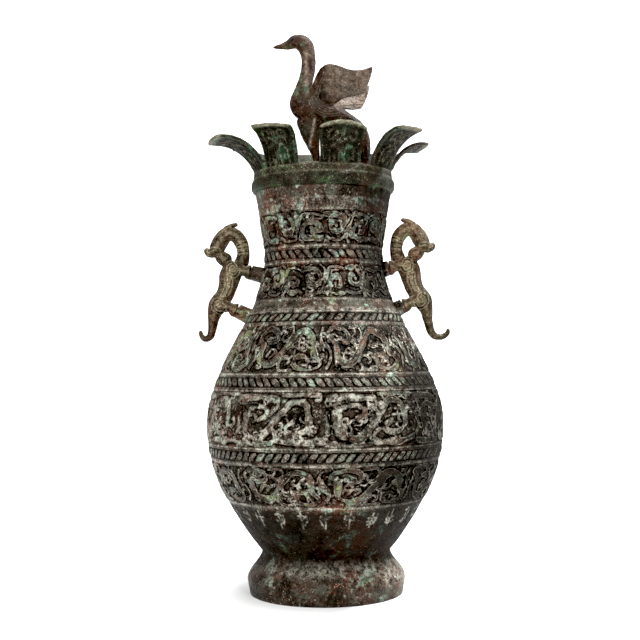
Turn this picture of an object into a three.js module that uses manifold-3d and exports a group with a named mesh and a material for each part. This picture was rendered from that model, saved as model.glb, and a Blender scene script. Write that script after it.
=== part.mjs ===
import * as THREE from "three";
import { mergeVertices } from "three/addons/utils/BufferGeometryUtils.js";
import Module from "manifold-3d";

// A cast bronze hu: a round wine vessel on a hollow foot, with two beast handles on its neck and a
// lid whose crown of eight petals surrounds a standing bird. Millimetres, +Z up. The origin is the
// middle of the foot's underside. The bird looks along -X, the handles stand on -X and +X, and the
// front of the vessel is -Y.

const wasm = await Module();
wasm.setup();

// Vessel.
const FOOT_RADIUS = 81.5; // widest, at the top of the foot's upright band
const FOOT_TOE_IN = 2.5; // how much smaller the foot is on the ground
const FOOT_BAND_HEIGHT = 16;
const WAIST_RADIUS = 66.3;
const WAIST_HEIGHT = 45;
const BELLY_RADIUS = 121.5;
const BELLY_HEIGHT = 172;
const BELLY_FULLNESS = 0.9; // below 1 fills the lower belly out
const NECK_RADIUS = 60.5;
const NECK_HEIGHT = 350;
const MOUTH_RADIUS = 70.5;
const MOUTH_HEIGHT = 412;
const MOUTH_FLARE = 1.3; // above 1 keeps the flare near the mouth
const WALL = 3.5;
const FLOOR_THICKNESS = 4;
const FLOOR_FLAT = 0.8; // flat share of the floor's inside, before it curves up into the wall

// Ornament of the vessel: raised cord bands, and fields between them. The fields of the belly and
// shoulder carry dragons with bold bodies; those of the neck are low and fine, and stay plain here.
const RELIEF_HEIGHT = 1.3;
const CORD_HEIGHT = 1.5;
const DRAGON_BODY_WIDTH = 7.5;
const DRAGON_ROOT_DEPTH = 1.4; // how far a dragon's body is sunk into the wall it is cast on
const LOWEST_LINE = 99.5; // height of the raised line under the lowest field
const LOWEST_LINE_WIDTH = 2.4;
const CORD_BANDS = [
  { bottom: 139, top: 157.5 },
  { bottom: 210, top: 228 },
  { bottom: 274.5, top: 289.5 },
  { bottom: 336, top: 354.5 },
];
const DRAGON_BANDS = [
  { bottom: LOWEST_LINE, top: CORD_BANDS[0].bottom, dragons: 8 },
  { bottom: CORD_BANDS[0].top, top: CORD_BANDS[1].bottom, dragons: 8 },
  { bottom: CORD_BANDS[1].top, top: CORD_BANDS[2].bottom, dragons: 8 },
];

// Lid.
const LID_SEAT_GAP = 0.3; // seam between the vessel's mouth and the lid
const LID_RING_HEIGHT = 21.5;
const LID_RING_RADIUS = 71.5;
const LID_RING_WALL = 5;
const LID_BEAD = { standout: 2.3, bottom: 4, top: 10, fadeOut: 12.5 }; // heights above the seat
const LID_SEAT_INSET = 0.8; // the ring's lowest edge is this much smaller than the ring
const LID_RING_TAPER = 1;
const LID_FLOOR_RISE = 12; // top of the lid's floor above its seat
const LID_FLOOR_THICKNESS = 3.5;
const COLLAR_DEPTH = 10; // the lid's collar reaches this far into the mouth
const COLLAR_WALL = 3.2;
const COLLAR_CLEARANCE = 1;

// Petals. Each stands on the lid's ring: its turn from the front, how far its tip leans out, how
// high it rises, the angle its face has swung through at the tip (90 is level), the arch of its tip
// and how much higher the tip's right end is than its left. Lengths are hundredths of the crown's
// height.
const CROWN_HEIGHT = 37.5;
const PETALS = [
  { turn: -73, lean: 131, rise: 78.7, curl: 100, arch: 0, tilt: 0 },
  { turn: -37, lean: 56, rise: 94.7, curl: 90, arch: 2.7, tilt: -16 },
  { turn: 15, lean: 40, rise: 84, curl: 90, arch: 16, tilt: 0 },
  { turn: 60, lean: 98.7, rise: 94.7, curl: 88, arch: 0, tilt: 13.3 },
  { turn: 100, lean: 109.3, rise: 78.7, curl: 100, arch: 2.7, tilt: 0 },
  { turn: 145, lean: 96, rise: 86.7, curl: 96, arch: 5.3, tilt: 0 },
  { turn: 190, lean: 85.3, rise: 89.3, curl: 94, arch: 8, tilt: 0 },
  { turn: 235, lean: 96, rise: 86.7, curl: 96, arch: 5.3, tilt: 0 },
];
const PETAL_THICKNESS = 2.6;
const PETAL_ROOT_WIDTH = 40;
const PETAL_TIP_WIDTH = 51;
const PETAL_SUNK = 3; // how far a petal's root runs down into the ring
const PETAL_FLARE = 1.5; // above 1 keeps the lean near the tip
const PETAL_CORNER = 0.92; // share of its width left at the rounded tip

// Handles. Tenons are cast on the neck, and the beasts' paws are fixed to the tenons' ends. A tenon
// is given by the height of its end, its length from the wall and its slope. The two beasts differ a
// little: outset and lift move a whole beast, and its tail is given in hundredths of its height.
const UPPER_TENON = { height: 332, length: 10.4, slope: 0.25 };
const LOWER_TENON = { height: 292.5, length: 12, slope: 0.5 };
const TENON_HALF_HEIGHT = 7.8;
const TENON_HALF_WIDTH = 10;
const TENON_GAP = 0.3;
const BEAST_HEIGHT = 120;
const BEASTS = [
  {
    name: "beast_handle_left",
    side: -1,
    outset: 3.5,
    lift: -0.5,
    tail: { reach: 43.9, drop: 57.3, sweep: 9 },
  },
  {
    name: "beast_handle_right",
    side: 1,
    outset: -4.5,
    lift: 3,
    tail: { reach: 50.6, drop: 60.2, sweep: 14 },
  },
];
const PAW_HALF_SPREAD = 5; // from the beast's middle to the middle of a paw
const PAW_LENGTH = 8;
const EAR_HALF_SPREAD = 4;

// Bird.
const BIRD_HEIGHT = 155.5;
const BIRD_GAP = 0.3; // between the bird's feet and the lid they are fixed to
const WING_THICKNESS = 2; // in hundredths of the bird's height
const LEG_SPREAD = 4; // likewise, from the bird's middle to each leg

// Facets round the solids of revolution, and the solids' finish.
const ROUND_SIDES = 32;
const HOLLOW_SIDES = 24;
const BRONZE = { roughness: 0.5, metalness: 0.6 };
const VESSEL_COLOUR = 0x3f463c;
const LID_COLOUR = 0x35443a;
const BIRD_COLOUR = 0x4d3428;
const HANDLE_COLOUR = 0x66503f;

const degrees = THREE.MathUtils.degToRad;
const mix = THREE.MathUtils.lerp;

// A smooth S from 1 at t = 0 to 0 at t = 1.
const settle = (t) => (1 + Math.cos(Math.PI * t)) / 2;

// Radius of the plain vessel at a height, before any ornament.
function bodyRadius(z) {
  if (z < FOOT_BAND_HEIGHT) {
    return mix(FOOT_RADIUS - FOOT_TOE_IN, FOOT_RADIUS, z / FOOT_BAND_HEIGHT);
  }
  if (z < WAIST_HEIGHT) {
    const t = (z - FOOT_BAND_HEIGHT) / (WAIST_HEIGHT - FOOT_BAND_HEIGHT);
    return mix(WAIST_RADIUS, FOOT_RADIUS, settle(t));
  }
  if (z < BELLY_HEIGHT) {
    const t = (z - WAIST_HEIGHT) / (BELLY_HEIGHT - WAIST_HEIGHT);
    return mix(WAIST_RADIUS, BELLY_RADIUS, Math.sin((Math.PI / 2) * t) ** BELLY_FULLNESS);
  }
  if (z < NECK_HEIGHT) {
    const t = (z - BELLY_HEIGHT) / (NECK_HEIGHT - BELLY_HEIGHT);
    return mix(NECK_RADIUS, BELLY_RADIUS, settle(t));
  }
  const t = (z - NECK_HEIGHT) / (MOUTH_HEIGHT - NECK_HEIGHT);
  return mix(NECK_RADIUS, MOUTH_RADIUS, t ** MOUTH_FLARE);
}

// The wall's inner radius at a height, a wall's thickness in from the outside along its slope.
function innerRadius(z) {
  const step = 1;
  const slope = (bodyRadius(z + step) - bodyRadius(z - step)) / (2 * step);
  return bodyRadius(z) - WALL * Math.hypot(1, slope);
}

// A solid from a closed geometry, its shared vertices merged.
function solid(geometry) {
  const bare = geometry.clone();
  bare.deleteAttribute("normal");
  bare.deleteAttribute("uv");
  const merged = mergeVertices(bare, 1e-3);
  const corners = merged.index.array;
  const kept = [];
  for (let i = 0; i < corners.length; i += 3) {
    const [a, b, c] = corners.slice(i, i + 3);
    if (a !== b && b !== c && c !== a) {
      kept.push(a, b, c);
    }
  }
  return new wasm.Manifold(
    new wasm.Mesh({
      numProp: 3,
      vertProperties: new Float32Array(merged.attributes.position.array),
      triVerts: new Uint32Array(kept),
    }),
  );
}

function join(pieces) {
  return pieces.reduce((whole, piece) => whole.add(piece));
}

// A solid made on the +X side, left there or mirrored to -X.
function onSide(shape, side) {
  return side < 0 ? shape.mirror([1, 0, 0]) : shape;
}

function namedMesh(name, shape, colour) {
  const { vertProperties, triVerts } = shape.getMesh();
  const geometry = new THREE.BufferGeometry();
  geometry.setAttribute("position", new THREE.BufferAttribute(vertProperties, 3));
  geometry.setIndex(new THREE.BufferAttribute(triVerts, 1));
  geometry.computeVertexNormals();
  const finish = new THREE.MeshStandardMaterial({ color: colour, flatShading: true, ...BRONZE });
  const mesh = new THREE.Mesh(geometry, finish);
  mesh.name = name;
  return mesh;
}

// A solid of revolution about Z. The profile is a list of [radius, height] that goes round the
// section with the material on its left, and starts and ends on the axis or closes on itself.
function turned(profile, sides = ROUND_SIDES) {
  const points = profile.map(([r, z]) => new THREE.Vector2(r, z));
  const geometry = new THREE.LatheGeometry(points, sides);
  geometry.rotateX(Math.PI / 2);
  return solid(geometry);
}

// Rings of equally many points, joined one to the next and closed at both ends by a fan to a tip.
function skin(rings, firstTip, lastTip) {
  const sides = rings[0].length;
  const positions = [...rings.flat(), firstTip, lastTip].flatMap((p) => p.toArray());
  const first = rings.length * sides;
  const last = first + 1;
  const faces = [];
  for (let side = 0; side < sides; side += 1) {
    const next = (side + 1) % sides;
    for (let ring = 0; ring + 1 < rings.length; ring += 1) {
      const here = ring * sides;
      const there = here + sides;
      faces.push(here + side, here + next, there + next);
      faces.push(here + side, there + next, there + side);
    }
    faces.push(first, next, side);
    faces.push(last, first - sides + side, first - sides + next);
  }
  const geometry = new THREE.BufferGeometry();
  geometry.setAttribute("position", new THREE.Float32BufferAttribute(positions, 3));
  geometry.setIndex(faces);
  return solid(geometry);
}

// A limb in an upright plane: it follows stations of [x, z, half thickness in the plane, half width
// across it] on a smooth curve. Its ends are domed by a share of its thickness, or flat.
function limb(stations, steps, sides, y = 0, domes = [0.45, 0.45]) {
  const route = new THREE.CatmullRomCurve3(
    stations.map(([x, z]) => new THREE.Vector3(x, y, z)),
    false,
    "centripetal",
  );
  const sizes = new THREE.CatmullRomCurve3(
    stations.map(([, , thick, wide]) => new THREE.Vector3(thick, wide, 0)),
  );
  const across = new THREE.Vector3(0, 1, 0);
  const rings = [];
  for (let step = 0; step <= steps; step += 1) {
    const t = step / steps;
    const centre = route.getPoint(t);
    const size = sizes.getPoint(t);
    const outward = new THREE.Vector3().crossVectors(across, route.getTangent(t)).normalize();
    rings.push(
      Array.from({ length: sides }, (_, side) => {
        const turn = (2 * Math.PI * (side + 0.5)) / sides;
        return centre
          .clone()
          .addScaledVector(outward, size.x * Math.cos(turn))
          .addScaledVector(across, size.y * Math.sin(turn));
      }),
    );
  }
  const tip = (t, dome) =>
    route.getPoint(t).addScaledVector(route.getTangent(t), dome * sizes.getPoint(t).x);
  return skin(rings, tip(0, -domes[0]), tip(1, domes[1]));
}

// A bent plate of even thickness on a grid of points, rows[i][j], thickened both ways.
function plate(rows, thickness) {
  const columns = rows[0].length;
  const at = (i, j) =>
    rows[THREE.MathUtils.clamp(i, 0, rows.length - 1)][THREE.MathUtils.clamp(j, 0, columns - 1)];
  const rings = rows.map((row, i) => {
    const face = row.map((point, j) => {
      const along = at(i + 1, j).clone().sub(at(i - 1, j));
      const across = at(i, j + 1).clone().sub(at(i, j - 1));
      const normal = new THREE.Vector3().crossVectors(across, along).setLength(thickness / 2);
      return [point.clone().add(normal), point.clone().sub(normal)];
    });
    return [...face.map(([over]) => over), ...face.map(([, under]) => under).reverse()];
  });
  const middle = (row) =>
    row.reduce((sum, point) => sum.add(point), new THREE.Vector3()).divideScalar(row.length);
  return skin(rings, middle(rings[0]), middle(rings[rings.length - 1]));
}

// A dragon's body in its field: [share of the field's width, share of its height].
const DRAGON_ROUTE = [
  [0.13, 0.6],
  [0.17, 0.24],
  [0.34, 0.17],
  [0.5, 0.5],
  [0.66, 0.83],
  [0.83, 0.76],
  [0.87, 0.4],
];

// One dragon's body, a flat raised strap laid on the vessel's wall.
function dragonBody(band, index) {
  const place = ([across, up], height, sideways) => {
    const angle = (2 * Math.PI * (index + across)) / band.dragons;
    const z = mix(band.bottom, band.top, up);
    const r = bodyRadius(z);
    const turn = angle + sideways[0] / r;
    return new THREE.Vector3(
      (r + height) * Math.cos(turn),
      (r + height) * Math.sin(turn),
      z + sideways[1],
    );
  };
  const fieldWidth = (2 * Math.PI * bodyRadius((band.bottom + band.top) / 2)) / band.dragons;
  const fieldHeight = band.top - band.bottom;
  const rings = DRAGON_ROUTE.map((point, i) => {
    const before = DRAGON_ROUTE[Math.max(i - 1, 0)];
    const after = DRAGON_ROUTE[Math.min(i + 1, DRAGON_ROUTE.length - 1)];
    const run = [(after[0] - before[0]) * fieldWidth, (after[1] - before[1]) * fieldHeight];
    const half = DRAGON_BODY_WIDTH / 2 / Math.hypot(...run);
    const side = [-run[1] * half, run[0] * half];
    const back = side.map((v) => -v);
    return [
      place(point, RELIEF_HEIGHT, side),
      place(point, RELIEF_HEIGHT, back),
      place(point, -DRAGON_ROOT_DEPTH, back),
      place(point, -DRAGON_ROOT_DEPTH, side),
    ];
  });
  const end = (ring) =>
    ring.reduce((sum, point) => sum.add(point), new THREE.Vector3()).divideScalar(ring.length);
  return skin(rings, end(rings[0]), end(rings[rings.length - 1]));
}

// How far a tenon's end stands from the axis, and its height, for one beast.
function tenonEnd({ height, length }, { outset, lift }) {
  return [bodyRadius(height) + length + outset, height + lift];
}

// The short stub on the wall that two of a beast's paws are fixed to, on the +X side.
function tenon(place, beast) {
  const [reach, height] = tenonEnd(place, beast);
  const root = bodyRadius(height) - WALL / 2;
  const half = [TENON_HALF_HEIGHT, TENON_HALF_WIDTH];
  const fall = place.slope * (reach - root);
  return limb([[root, height - fall, ...half], [reach, height, ...half]], 1, 8, 0, [0, 0]);
}

// The straight bore of the mouth, which the lid's collar goes into.
function mouthBore() {
  return innerRadius(MOUTH_HEIGHT - COLLAR_DEPTH);
}

function vessel() {
  const outline = [];
  const add = (bottom, top, steps) => {
    for (let step = 0; step <= steps; step += 1) {
      const z = mix(bottom, top, step / steps);
      outline.push([bodyRadius(z), z]);
    }
  };
  const footInside = bodyRadius(0) - WALL;
  const underFloor = WAIST_HEIGHT - FLOOR_THICKNESS / 2;
  outline.push([0, underFloor], [innerRadius(underFloor), underFloor]);
  outline.push([innerRadius(FOOT_BAND_HEIGHT), FOOT_BAND_HEIGHT], [footInside, 0]);
  add(0, FOOT_BAND_HEIGHT, 1);
  add(mix(FOOT_BAND_HEIGHT, WAIST_HEIGHT, 0.2), WAIST_HEIGHT, 4);
  const line = LOWEST_LINE_WIDTH / 2;
  add(mix(WAIST_HEIGHT, LOWEST_LINE, 0.2), LOWEST_LINE - line, 4);
  outline.push([bodyRadius(LOWEST_LINE) + RELIEF_HEIGHT, LOWEST_LINE]);
  let from = LOWEST_LINE + line;
  for (const { bottom, top } of CORD_BANDS) {
    add(from, bottom, 2);
    outline.push([bodyRadius(bottom) + CORD_HEIGHT, bottom]);
    outline.push([bodyRadius(top) + CORD_HEIGHT, top]);
    from = top;
  }
  add(from, MOUTH_HEIGHT, 4);
  outline.push([0, MOUTH_HEIGHT]);

  const floorTop = WAIST_HEIGHT + FLOOR_THICKNESS / 2;
  const bowlStart = floorTop + WALL;
  const hollow = [[0, floorTop], [innerRadius(bowlStart) * FLOOR_FLAT, floorTop]];
  for (const share of [0, 0.14, 0.28, 0.42, 0.56, 0.7, 0.84, 1]) {
    const z = mix(bowlStart, NECK_HEIGHT, share);
    hollow.push([innerRadius(z), z]);
  }
  const over = MOUTH_HEIGHT + WALL;
  hollow.push([mouthBore(), MOUTH_HEIGHT - COLLAR_DEPTH], [mouthBore(), over], [0, over]);

  const cast = [turned(outline)];
  for (const band of DRAGON_BANDS) {
    for (let index = 0; index < band.dragons; index += 1) {
      cast.push(dragonBody(band, index));
    }
  }
  for (const beast of BEASTS) {
    for (const place of [UPPER_TENON, LOWER_TENON]) {
      cast.push(onSide(tenon(place, beast), beast.side));
    }
  }
  return join(cast).subtract(turned(hollow, HOLLOW_SIDES));
}

// A petal of the lid's crown, seen from inside: rows run from its root to its tip.
function petal({ turn, lean, rise, curl, arch, tilt }) {
  const rootRadius = LID_RING_RADIUS - LID_RING_WALL / 2;
  const rootHeight = MOUTH_HEIGHT + LID_SEAT_GAP + LID_RING_HEIGHT - PETAL_SUNK;
  const size = CROWN_HEIGHT / 100;
  const steps = 4;
  const columns = 3;
  const rows = [];
  for (let step = 0; step <= steps; step += 1) {
    const up = step / steps;
    const radius = rootRadius + lean * size * up ** PETAL_FLARE;
    const width = mix(PETAL_ROOT_WIDTH, PETAL_TIP_WIDTH, up ** PETAL_FLARE);
    const row = [];
    for (let column = 0; column <= columns; column += 1) {
      const side = (2 * column) / columns - 1;
      const corner = step === steps ? PETAL_CORNER : 1;
      const angle = degrees(turn) + (side * corner * width) / 2 / radius;
      const lift = (arch * (1 - side * side) + (tilt * side) / 2) * size * up * up;
      const height = (rise * size + PETAL_SUNK) * Math.sin(degrees(curl) * up) + lift;
      row.push(
        new THREE.Vector3(radius * Math.sin(angle), -radius * Math.cos(angle), rootHeight + height),
      );
    }
    rows.push(row);
  }
  return plate(rows, PETAL_THICKNESS);
}

function lid() {
  const seat = MOUTH_HEIGHT + LID_SEAT_GAP;
  const top = seat + LID_RING_HEIGHT;
  const floor = seat + LID_FLOOR_RISE;
  const collar = mouthBore() - COLLAR_CLEARANCE;
  const bead = LID_RING_RADIUS + LID_BEAD.standout;
  const inside = LID_RING_RADIUS - LID_RING_WALL;
  const ring = turned([
    [0, floor - LID_FLOOR_THICKNESS],
    [collar - COLLAR_WALL, floor - LID_FLOOR_THICKNESS],
    [collar - COLLAR_WALL, MOUTH_HEIGHT - COLLAR_DEPTH],
    [collar, MOUTH_HEIGHT - COLLAR_DEPTH],
    [collar, seat],
    [LID_RING_RADIUS - LID_SEAT_INSET, seat],
    [bead, seat + LID_BEAD.bottom],
    [bead, seat + LID_BEAD.top],
    [LID_RING_RADIUS, seat + LID_BEAD.fadeOut],
    [LID_RING_RADIUS - LID_RING_TAPER, top],
    [inside, top],
    [inside, floor],
    [0, floor],
  ]);
  return join([ring, ...PETALS.map(petal)]);
}

// One wing, on the -Y side, in the bird's hundredths: rows run from its leading edge to its tip, top
// edge first.
function wing() {
  const rows = [
    [[-0.8, -14.1, 72.5], [-5.1, -9.6, 65.4], [-8.4, -5.1, 56.4]],
    [[3.2, -17.4, 74.4], [0, -12.9, 64.1], [-3.9, -7.7, 50.6]],
    [[9, -19.9, 73.4], [7.1, -16.1, 62.8], [5.1, -8.4, 49.3]],
    [[18, -22.5, 69.6], [16.7, -19.9, 62.2], [14.1, -15.4, 52.5]],
    [[25.1, -23.8, 68.9], [23.8, -21.9, 61.5], [21.2, -19.3, 52.9]],
    [[32.8, -25.1, 70.6], [30.9, -23.8, 62.8], [26.7, -21.9, 54.1]],
  ];
  return plate(
    rows.map((row) => row.map((point) => new THREE.Vector3(...point))),
    WING_THICKNESS,
  );
}

// The bird stands on z = 0 and is drawn in hundredths of its height.
function bird() {
  const body = limb(
    [
      [28.6, 2.4, 2.8, 5.1],
      [28.3, 17.8, 3.7, 6.8],
      [27.8, 29.4, 3.7, 7.7],
      [24.6, 36.5, 3.4, 8.4],
      [17.4, 41, 4.5, 9],
      [8.4, 44.5, 7.1, 9.6],
      [-2.6, 47.4, 9.3, 10],
      [-10.9, 50.3, 9.6, 8.7],
      [-16.7, 51.9, 5.1, 5.8],
    ],
    10,
    8,
  );
  const neck = limb(
    [
      [-8.4, 46.8, 8.4, 7.1],
      [-14, 52.5, 9.3, 7.1],
      [-13.2, 60.3, 6.4, 5.8],
      [-11, 68, 4.9, 4.6],
      [-9.2, 76.3, 4.8, 4],
      [-9.2, 84.7, 4.9, 4.1],
      [-11.6, 91.8, 5.6, 4.5],
      [-17, 94.2, 5, 4.2],
      [-22, 92.3, 3.3, 3],
      [-27, 91.1, 2, 1.9],
      [-32.8, 90.6, 0.6, 0.8],
    ],
    14,
    8,
  );
  const pieces = [body, neck, wing(), wing().mirror([0, 1, 0])];
  for (const y of [-LEG_SPREAD, LEG_SPREAD]) {
    pieces.push(
      limb(
        [
          [-8.4, 43.5, 10.4, 4.5],
          [-7.9, 33.2, 6.8, 3.9],
          [-6, 24.2, 4, 3.1],
          [-4.3, 15.9, 2.4, 2.3],
          [-3.8, 0.9, 1.9, 2.1],
        ],
        4,
        6,
        y,
        [0.45, 0],
      ),
      limb(
        [
          [-0.6, 1, 1, 2.2],
          [-10.9, 1, 1, 3.3],
        ],
        1,
        6,
        y,
      ),
    );
  }
  const size = BIRD_HEIGHT / 100;
  return join(pieces).scale([size, size, size]);
}

// A beast handle on the +X side: it climbs the neck with its head turned out. Its body is drawn in
// hundredths of its height, from the end of the upper tenon.
function handle(beast) {
  const size = BEAST_HEIGHT / 100;
  const [reach, height] = tenonEnd(UPPER_TENON, beast);
  const drawn = ([x, z, thick, wide]) => [
    reach + TENON_GAP + x * size,
    height + z * size,
    thick * size,
    wide * size,
  ];
  const { tail } = beast;
  const torsoAndTail = limb(
    [
      [11, 7.9, 8.3, 6.7],
      [17, -1.2, 9.5, 7.2],
      [19.6, -11.2, 8.4, 6.5],
      [22.7, -19.6, 7.8, 6.5],
      [28.5, -28.3, 8.3, 7.2],
      [31.8, -37.1, 5.7, 5.5],
      [33, -45.4, 4.2, 4.2],
      [tail.reach - tail.sweep, 3 - tail.drop, 3.3, 3.7],
      [tail.reach - tail.sweep / 2, -tail.drop, 2.8, 3.2],
      [tail.reach - 1, 3 - tail.drop, 2.2, 2.4],
      [tail.reach, 7.6 - tail.drop, 1.6, 1.8],
    ].map(drawn),
    15,
    7,
  );
  const neckAndHead = limb(
    [
      [8.1, 6.2, 5.8, 5.5],
      [5.5, 16.2, 5, 5],
      [7.4, 25.8, 5.5, 5.4],
      [12.5, 32.5, 5.5, 5.7],
      [19.3, 34.6, 5, 6.5],
      [24.8, 29.4, 6.1, 7],
      [29, 22, 6.1, 6],
      [33, 17.1, 4.3, 4.7],
      [36.8, 17.9, 3.3, 4.2],
      [38.4, 21.8, 2.3, 3.3],
    ].map(drawn),
    13,
    7,
  );
  const jaw = limb([[29, 15.4, 5.2, 4.9], [17.7, 9, 6.6, 5.5]].map(drawn), 1, 7);
  const pieces = [torsoAndTail, neckAndHead, jaw];
  const limbs = [
    [UPPER_TENON, [13.5, 3.8, 7.5, 4.7]],
    [LOWER_TENON, [25.2, -27.9, 7.2, 5]],
  ];
  for (const side of [-1, 1]) {
    for (const [place, shoulder] of limbs) {
      const [end, level] = tenonEnd(place, beast);
      const paw = [
        drawn(shoulder),
        [end + TENON_GAP + PAW_LENGTH, level + PAW_LENGTH * place.slope, 5.6, 4.9],
        [end + TENON_GAP, level, 5.8, 4.9],
      ];
      pieces.push(limb(paw, 2, 6, side * PAW_HALF_SPREAD, [0.45, 0]));
    }
    const ear = [[21.8, 37.9, 2.2, 2], [16, 40.4, 2, 1.8], [11, 42.1, 1.1, 1.1]];
    pieces.push(limb(ear.map(drawn), 2, 5, side * EAR_HALF_SPREAD));
  }
  return onSide(join(pieces), beast.side);
}

const hu = new THREE.Group();
hu.name = "hu";
hu.add(namedMesh("vessel", vessel(), VESSEL_COLOUR));
hu.add(namedMesh("lid", lid(), LID_COLOUR));
const birdMesh = namedMesh("bird", bird(), BIRD_COLOUR);
birdMesh.position.z = MOUTH_HEIGHT + LID_SEAT_GAP + LID_FLOOR_RISE + BIRD_GAP;
hu.add(birdMesh);
for (const beast of BEASTS) {
  hu.add(namedMesh(beast.name, handle(beast), HANDLE_COLOUR));
}

export default hu;
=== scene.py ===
import math

import bpy
import numpy as np
from mathutils import Matrix, Vector


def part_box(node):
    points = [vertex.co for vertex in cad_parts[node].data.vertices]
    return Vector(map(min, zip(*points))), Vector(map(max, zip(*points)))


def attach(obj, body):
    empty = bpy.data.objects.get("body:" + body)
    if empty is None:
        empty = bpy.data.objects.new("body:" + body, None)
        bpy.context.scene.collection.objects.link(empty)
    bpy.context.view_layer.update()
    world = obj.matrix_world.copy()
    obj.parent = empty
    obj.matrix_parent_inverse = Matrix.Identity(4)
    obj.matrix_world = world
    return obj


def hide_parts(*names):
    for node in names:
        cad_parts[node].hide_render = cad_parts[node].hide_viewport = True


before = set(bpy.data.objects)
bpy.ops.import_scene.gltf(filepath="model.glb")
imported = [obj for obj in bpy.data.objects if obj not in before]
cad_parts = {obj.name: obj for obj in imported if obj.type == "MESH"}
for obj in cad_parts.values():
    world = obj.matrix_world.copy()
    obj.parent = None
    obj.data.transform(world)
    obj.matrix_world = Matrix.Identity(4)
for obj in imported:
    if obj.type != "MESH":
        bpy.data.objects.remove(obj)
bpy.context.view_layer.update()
bpy.ops.object.select_all(action="DESELECT")

# The vessel: a wine jar cast in one with its hollow foot and the stubs for the handles. The wall is
# 3.5 mm thick. Its outside carries five fields of coiled dragons between four raised cords, and a
# row of cut signs below them. Lengths are millimetres, heights are measured from the ground.
MM = 0.001
WALL = 3.5
FOOT_BAND, WAIST, WIDE, NECK, MOUTH = 16, 45, 172, 350, 412
WAIST_RADIUS, NECK_RADIUS = 66.3, 60.5
WIDEST = 122.2
COLUMNS = 640
VESSEL_TRIANGLES = 193000


def settle(share):
    """Falls from 1 to 0 in a long S."""
    return (1 + np.cos(np.pi * share)) / 2


def wall_radius(height):
    height = np.asarray(height, float)
    foot_band = 79 + 2.5 * height / FOOT_BAND
    foot = WAIST_RADIUS + 15.2 * settle((height - FOOT_BAND) / (WAIST - FOOT_BAND))
    rise = np.clip((height - WAIST) / (WIDE - WAIST), 0, 1)
    belly = WAIST_RADIUS + 55.2 * np.sin(np.pi / 2 * rise) ** 0.9
    shoulder = NECK_RADIUS + 61 * settle((height - WIDE) / (NECK - WIDE))
    mouth = NECK_RADIUS + 10 * (np.clip(height - NECK, 0, None) / (MOUTH - NECK)) ** 1.3
    below = [height < FOOT_BAND, height < WAIST, height < WIDE, height < NECK]
    return np.select(below, [foot_band, foot, belly, shoulder], mouth)


def inner_radius(height):
    slope = (wall_radius(height + 1) - wall_radius(height - 1)) / 2
    return wall_radius(height) - WALL * np.hypot(1, slope)


def steps(start, end, size):
    return list(np.linspace(start, end, max(2, round(abs(end - start) / size) + 1)))


def places(piece):
    """The piece's vertices, in millimetres."""
    flat = np.empty(len(piece.data.vertices) * 3, np.float32)
    piece.data.vertices.foreach_get("co", flat)
    return flat.reshape(-1, 3).astype(float) / MM


def put(piece, points):
    piece.data.vertices.foreach_set("co", (points * MM).astype(np.float32).ravel())
    piece.data.update()


def keep(piece, name, values):
    """Stores one number for each vertex, which the piece's material reads by this name."""
    store = piece.data.attributes.get(name) or piece.data.attributes.new(name, "FLOAT", "POINT")
    store.data.foreach_set("value", np.asarray(values, np.float32))


def finish_with(piece, kind, **settings):
    """Gives the piece a modifier and applies it."""
    bpy.ops.object.select_all(action="DESELECT")
    bpy.context.view_layer.objects.active = piece
    piece.select_set(True)
    bpy.ops.object.modifier_add(type=kind)
    modifier = piece.modifiers[-1]
    for setting, value in settings.items():
        setattr(modifier, setting, value)
    bpy.ops.object.modifier_apply(modifier=modifier.name)


def facing(piece):
    """The directions in which the piece's vertices face."""
    flat = np.empty(len(piece.data.vertices) * 3, np.float32)
    piece.data.vertices.foreach_get("normal", flat)
    return flat.reshape(-1, 3).astype(float)


def turned(section, count):
    """Spins an outline of (radius, height) round the vase's axis."""
    bpy.ops.object.select_all(action="DESELECT")
    bpy.ops.mesh.primitive_circle_add(vertices=len(section), radius=0.1)
    piece = bpy.context.object
    put(piece, np.array([(r, 0, z) for r, z in section]))
    bpy.ops.object.mode_set(mode="EDIT")
    bpy.ops.mesh.select_all(action="SELECT")
    bpy.ops.mesh.spin(
        steps=count, angle=2 * math.pi, center=(0, 0, 0), axis=(0, 0, 1), use_auto_merge=True
    )
    bpy.ops.mesh.select_all(action="SELECT")
    bpy.ops.mesh.remove_doubles(threshold=0.02 * MM)
    bpy.ops.mesh.delete_loose(use_verts=True, use_edges=True, use_faces=False)
    bpy.ops.mesh.select_all(action="SELECT")
    bpy.ops.mesh.normals_make_consistent(inside=False)
    bpy.ops.object.mode_set(mode="OBJECT")
    return piece


def fuse(name, pieces):
    """Joins several pieces in one object."""
    bpy.ops.object.select_all(action="DESELECT")
    for piece in pieces:
        piece.select_set(True)
    bpy.context.view_layer.objects.active = pieces[0]
    bpy.ops.object.join()
    pieces[0].name = name
    return pieces[0]


def swell(points, seed, length):
    """A smooth unevenness between about -1 and 1, whose swells are about this long."""
    chance = np.random.default_rng(seed)
    total = np.zeros(len(points))
    for _ in range(10):
        way = chance.normal(size=3)
        way *= 2 * np.pi / (length * chance.uniform(0.7, 1.6) * np.linalg.norm(way))
        total += np.sin(points @ way + chance.uniform(0, 2 * np.pi))
    return total / 4


def smooth_route(points, spacing=1.6):
    """Fills a route of a few points in with a smooth curve through them."""
    points = np.asarray(points, float)
    padded = np.vstack([2 * points[0] - points[1], points, 2 * points[-1] - points[-2]])
    route = []
    for before, start, end, after in zip(padded, padded[1:], padded[2:], padded[3:]):
        count = max(2, int(np.linalg.norm((end - start)[:2]) / spacing))
        for share in np.arange(count) / count:
            square, cube = share**2, share**3
            route.append(
                0.5
                * (
                    2 * start
                    + (end - before) * share
                    + (2 * before - 5 * start + 4 * end - after) * square
                    + (3 * start - before - 3 * end + after) * cube
                )
            )
    route.append(points[-1])
    return np.array(route)


FAR = 9.0


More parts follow.
